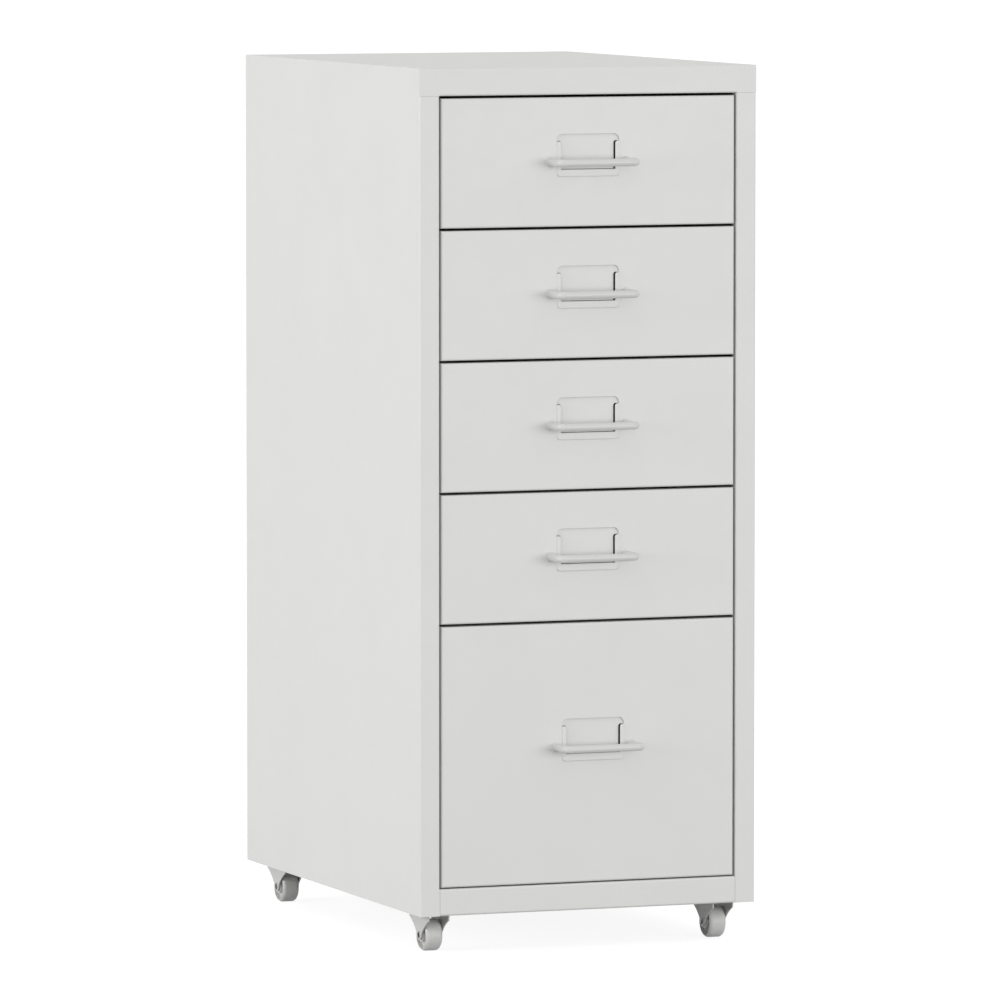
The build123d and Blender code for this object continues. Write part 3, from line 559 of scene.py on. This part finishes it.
fork_coat = powder_coat("fork_coat", (0.60, 0.602, 0.592), (0.58, 0.582, 0.572), 0.40,
                        peel_depth=0.000005, wave_depth=0.0)
wheel_plastic = moulded_plastic("wheel_plastic", (0.66, 0.662, 0.65), (0.61, 0.612, 0.60), 0.42)
# Painted shade: the rivet's steel is drawn dark, for the shade at the axle.
rivet_steel = zinc_plate("rivet_steel", (0.36, 0.36, 0.37), (0.28, 0.28, 0.29), 0.42, 0.003)
for corner in CORNERS:
    finish_node(f"castor_fork_{corner}", fork_coat)
    low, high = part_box(f"castor_wheel_{corner}")
    axle = (low + high) / 2
    wheel = turned(f"wheel_moulding_{corner}", wheel_outline(), axle, WHEEL_STEPS)
    wheel.data.materials.append(wheel_plastic)
    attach(wheel, f"wheel_{corner}")
    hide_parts(f"castor_wheel_{corner}")
    end = FORK_HALF + RIVET_HEAD_H
    head = [(FORK_HALF, RIVET_R), (FORK_HALF, RIVET_HEAD_R)]
    round_x = end - RIVET_ROUNDING
    head += arc((round_x, RIVET_HEAD_R - RIVET_ROUNDING), RIVET_ROUNDING, start=90, end=0, steps=6)
    head += arc((round_x, RIVET_BORE + RIVET_ROUNDING), RIVET_ROUNDING, start=0, end=-90, steps=5)
    outline = head + [(-along, out) for along, out in reversed(head)]
    rivet = turned(f"hollow_rivet_{corner}", outline, axle, RIVET_STEPS)
    rivet.data.materials.append(rivet_steel)
    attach(rivet, "cabinet")
    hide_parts(f"castor_axle_{corner}")


# ---------------------------------------------------------------- castor screws and nuts
# Two machine screws go up through each fork's web and the base sheet, into plain zinc plated hex
# nuts with chamfered corners that sit inside the cabinet.
CASTOR_SCREW_HEAD = 0.0076
CASTOR_SCREW_HEAD_H = 0.0022
CASTOR_SCREW_SHANK = 0.0040
CASTOR_SCREW_LENGTH = 0.0062
CASTOR_SCREW_SLOT = 0.0011
CASTOR_SCREW_THREAD = 0.0009
CASTOR_SCREW_PITCH = 0.032  # between the two screws in one fork
FORK_SHEET = 0.001
NUT_ACROSS = 0.0070
NUT_HEIGHT = 0.0030
NUT_BORE = 0.0042
NUT_CHAMFER_FROM = 0.36     # where the chamfer starts, from the nut's middle, as a share of its height
NUT_CHAMFER_SLOPE = 1.7     # how far it goes in at the corners for each step up
NUT_CLEAR = 1.002           # the cone that cuts the chamfers stands just proud of the nut's faces


def nut_tree():
    """A hex nut with a bore and chamfered corners, once at each vertex, turned by chance."""
    tree = tree_of("hex_nuts", [("Across flats", "Float"), ("Height", "Float"), ("Bore", "Float"),
                                ("Seed", "Int"), ("Metal", "Material")])
    given = tree.nodes.new("NodeGroupInput").outputs
    corner_r = sums(tree, "DIVIDE", given["Across flats"], 2 * math.cos(math.pi / 6))
    prism = put(tree, "GeometryNodeMeshCylinder", {"fill_type": "NGON"}, Vertices=6,
                Radius=corner_r, Depth=given["Height"])
    washer = put(tree, "GeometryNodeMeshCylinder", {"fill_type": "NGON"}, Vertices=48, Side_Segments=8,
                 Radius=corner_r, Depth=sums(tree, "MULTIPLY", given["Height"], NUT_CLEAR))
    along = put(tree, "ShaderNodeSeparateXYZ",
                Vector=put(tree, "GeometryNodeInputPosition").outputs[0]).outputs
    near_end = sums(tree, "MAXIMUM", 0.0, sums(tree, "SUBTRACT", sums(tree, "ABSOLUTE", along["Z"]),
                    sums(tree, "MULTIPLY", given["Height"], NUT_CHAMFER_FROM)))
    pinch = sums(tree, "DIVIDE", sums(tree, "MULTIPLY", near_end, -NUT_CHAMFER_SLOPE), corner_r)
    cone = put(tree, "GeometryNodeSetPosition", Geometry=washer.outputs["Mesh"],
               Offset=point_from(tree, sums(tree, "MULTIPLY", along["X"], pinch),
                                 sums(tree, "MULTIPLY", along["Y"], pinch)))
    both = put(tree, "GeometryNodeMeshBoolean", {"operation": "INTERSECT"})
    tree.links.new(prism.outputs["Mesh"], both.inputs["Mesh 2"])
    tree.links.new(cone.outputs[0], both.inputs["Mesh 2"])
    bore = put(tree, "GeometryNodeMeshCylinder", {"fill_type": "NGON"}, Vertices=28,
               Radius=sums(tree, "MULTIPLY", given["Bore"], 0.5),
               Depth=sums(tree, "MULTIPLY", given["Height"], 2.0))
    bored = put(tree, "GeometryNodeMeshBoolean", {"operation": "DIFFERENCE"})
    tree.links.new(both.outputs["Mesh"], bored.inputs["Mesh 1"])
    tree.links.new(bore.outputs["Mesh"], bored.inputs["Mesh 2"])
    lifted = put(tree, "GeometryNodeTransform", Geometry=bored.outputs["Mesh"],
                 Translation=point_from(tree, z=sums(tree, "MULTIPLY", given["Height"], 0.5)))
    set_down = put(tree, "GeometryNodeInstanceOnPoints", Points=given["Geometry"],
                   Instance=lifted.outputs[0])
    chance = put(tree, "FunctionNodeRandomValue", {"data_type": "FLOAT"}, Seed=given["Seed"])
    chance.inputs[3].default_value = math.pi / 3
    spun = put(tree, "GeometryNodeRotateInstances", Instances=set_down.outputs[0],
               Rotation=point_from(tree, z=chance.outputs[1]))
    real = put(tree, "GeometryNodeRealizeInstances", Geometry=spun.outputs[0])
    plated = put(tree, "GeometryNodeSetMaterial", Geometry=real.outputs[0], Material=given["Metal"])
    tree.links.new(plated.outputs[0], tree.nodes.new("NodeGroupOutput").inputs[0])
    return tree


fork_places = []
for corner in CORNERS:
    low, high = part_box(f"castor_fork_{corner}")
    middle = (low + high) / 2
    fork_places += [(middle.x, middle.y + side * CASTOR_SCREW_PITCH / 2, high.z) for side in (-1, 1)]
head_places = [(x, y, top - FORK_SHEET) for x, y, top in fork_places]
castor_screws = grown("castor_screw_set", head_places, [], cross_head_screws, {
    "Head diameter": CASTOR_SCREW_HEAD, "Head height": CASTOR_SCREW_HEAD_H,
    "Slot width": CASTOR_SCREW_SLOT, "Shank diameter": CASTOR_SCREW_SHANK,
    "Shank length": CASTOR_SCREW_LENGTH, "Thread pitch": CASTOR_SCREW_THREAD,
    "Head turned": (math.pi, 0.0, 0.0), "Seed": 41, "Metal": screw_zinc})
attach(castor_screws, "cabinet")
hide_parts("castor_screws")
nut_places = [(x, y, base_top) for x, y, top in fork_places]
castor_nuts = grown("castor_nut_set", nut_places, [], nut_tree(), {
    "Across flats": NUT_ACROSS, "Height": NUT_HEIGHT, "Bore": NUT_BORE, "Seed": 43,
    "Metal": screw_zinc})
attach(castor_nuts, "cabinet")
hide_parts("castor_nuts")


# ---------------------------------------------------------------- floor, lamps and camera
# A pale studio floor that runs out of sight, a soft box to the left, another in front and an even
# surround. The camera stands well back to the left of the front and a little above the top.
FLOOR_HALF = 30.0
FLOOR_LIT = 0.40            # the floor as other light meets it
FLOOR_SHADOWED = 0.28       # the part of its seen white that a shadow darkens
FLOOR_GLOW = 0.88
SURROUND_LIGHT = 0.73
LAMP_AIM = (0.0, 0.0, 0.30)
CAMERA_LENS = 323.74        # in millimetres, on a sensor 36 mm wide
CAMERA_PLACE = (-2.52747, -6.68808, 0.89129)
CAMERA_DOWN = 4.430         # in degrees
CAMERA_TURN = 20.696


def seen_white(tree, lit, glow):
    """White where the camera, a reflection or a refraction looks, and plain for all other light."""
    ray = tree.nodes.new("ShaderNodeLightPath").outputs
    looked = None
    for kind in ("Is Camera Ray", "Is Glossy Ray", "Is Transmission Ray"):
        looked = sums(tree, "MAXIMUM", looked, ray[kind]) if looked else ray[kind]
    mix = tree.nodes.new("ShaderNodeMixShader")
    tree.links.new(looked, mix.inputs[0])
    tree.links.new(lit, mix.inputs[1])
    tree.links.new(glow, mix.inputs[2])
    return mix.outputs[0]


floor_white = bpy.data.materials.new("floor_white")
floor_white.use_nodes = True
floor_tree = floor_white.node_tree
floor_tree.nodes.clear()
dull = floor_tree.nodes.new("ShaderNodeBsdfDiffuse")
dull.inputs["Color"].default_value = (FLOOR_LIT, FLOOR_LIT, FLOOR_LIT, 1.0)
shadowed = floor_tree.nodes.new("ShaderNodeBsdfDiffuse")
shadowed.inputs["Color"].default_value = (FLOOR_SHADOWED, FLOOR_SHADOWED, FLOOR_SHADOWED, 1.0)
glow = floor_tree.nodes.new("ShaderNodeEmission")
glow.inputs["Strength"].default_value = FLOOR_GLOW
both = floor_tree.nodes.new("ShaderNodeAddShader")
floor_tree.links.new(shadowed.outputs[0], both.inputs[0])
floor_tree.links.new(glow.outputs[0], both.inputs[1])
floor_out = floor_tree.nodes.new("ShaderNodeOutputMaterial")
floor_tree.links.new(seen_white(floor_tree, dull.outputs[0], both.outputs[0]), floor_out.inputs["Surface"])
floor_mesh = bpy.data.meshes.new("studio_floor")
floor_corners = [(x * FLOOR_HALF, y * FLOOR_HALF, 0.0) for x, y in ((-1, -1), (1, -1), (1, 1), (-1, 1))]
floor_mesh.from_pydata(floor_corners, [], [(0, 1, 2, 3)])
floor_mesh.materials.append(floor_white)
floor = bpy.data.objects.new("studio_floor", floor_mesh)
bpy.context.scene.collection.objects.link(floor)

surround = bpy.data.worlds.new("surround")
surround.use_nodes = True
bpy.context.scene.world = surround
world_tree = surround.node_tree
world_tree.nodes.clear()
even = world_tree.nodes.new("ShaderNodeBackground")
even.inputs["Color"].default_value = (1.0, 1.0, 0.99, 1.0)
even.inputs["Strength"].default_value = SURROUND_LIGHT
white = world_tree.nodes.new("ShaderNodeBackground")
white.inputs["Color"].default_value = (1.0, 1.0, 1.0, 1.0)
white.inputs["Strength"].default_value = 1.0
world_out = world_tree.nodes.new("ShaderNodeOutputWorld")
world_tree.links.new(seen_white(world_tree, even.outputs[0], white.outputs[0]), world_out.inputs["Surface"])


def soft_box(name, place, width, height, watts):
    """A rectangular soft box that faces the middle of the cabinet."""
    lamp = bpy.data.lights.new(name, "AREA")
    lamp.shape = "RECTANGLE"
    lamp.size = width
    lamp.size_y = height
    lamp.energy = watts
    box = bpy.data.objects.new(name, lamp)
    box.location = place
    box.rotation_euler = (Vector(LAMP_AIM) - Vector(place)).to_track_quat("-Z", "Y").to_euler()
    bpy.context.scene.collection.objects.link(box)


soft_box("left_box", (-3.5, -0.2, 0.90), width=2.0, height=1.2, watts=53.0)
soft_box("front_box", (1.6, -5.3, 0.75), width=5.0, height=1.4, watts=108.0)

camera_lens = bpy.data.cameras.new("photo_camera")
camera_lens.lens = CAMERA_LENS
camera_lens.sensor_width = 36.0
camera_lens.clip_end = 100.0
camera = bpy.data.objects.new("photo_camera", camera_lens)
camera.location = CAMERA_PLACE
camera.rotation_euler = (math.radians(90.0 - CAMERA_DOWN), 0.0, math.radians(-CAMERA_TURN))
bpy.context.scene.collection.objects.link(camera)
bpy.context.scene.camera = camera
bpy.context.scene.view_settings.view_transform = "Standard"
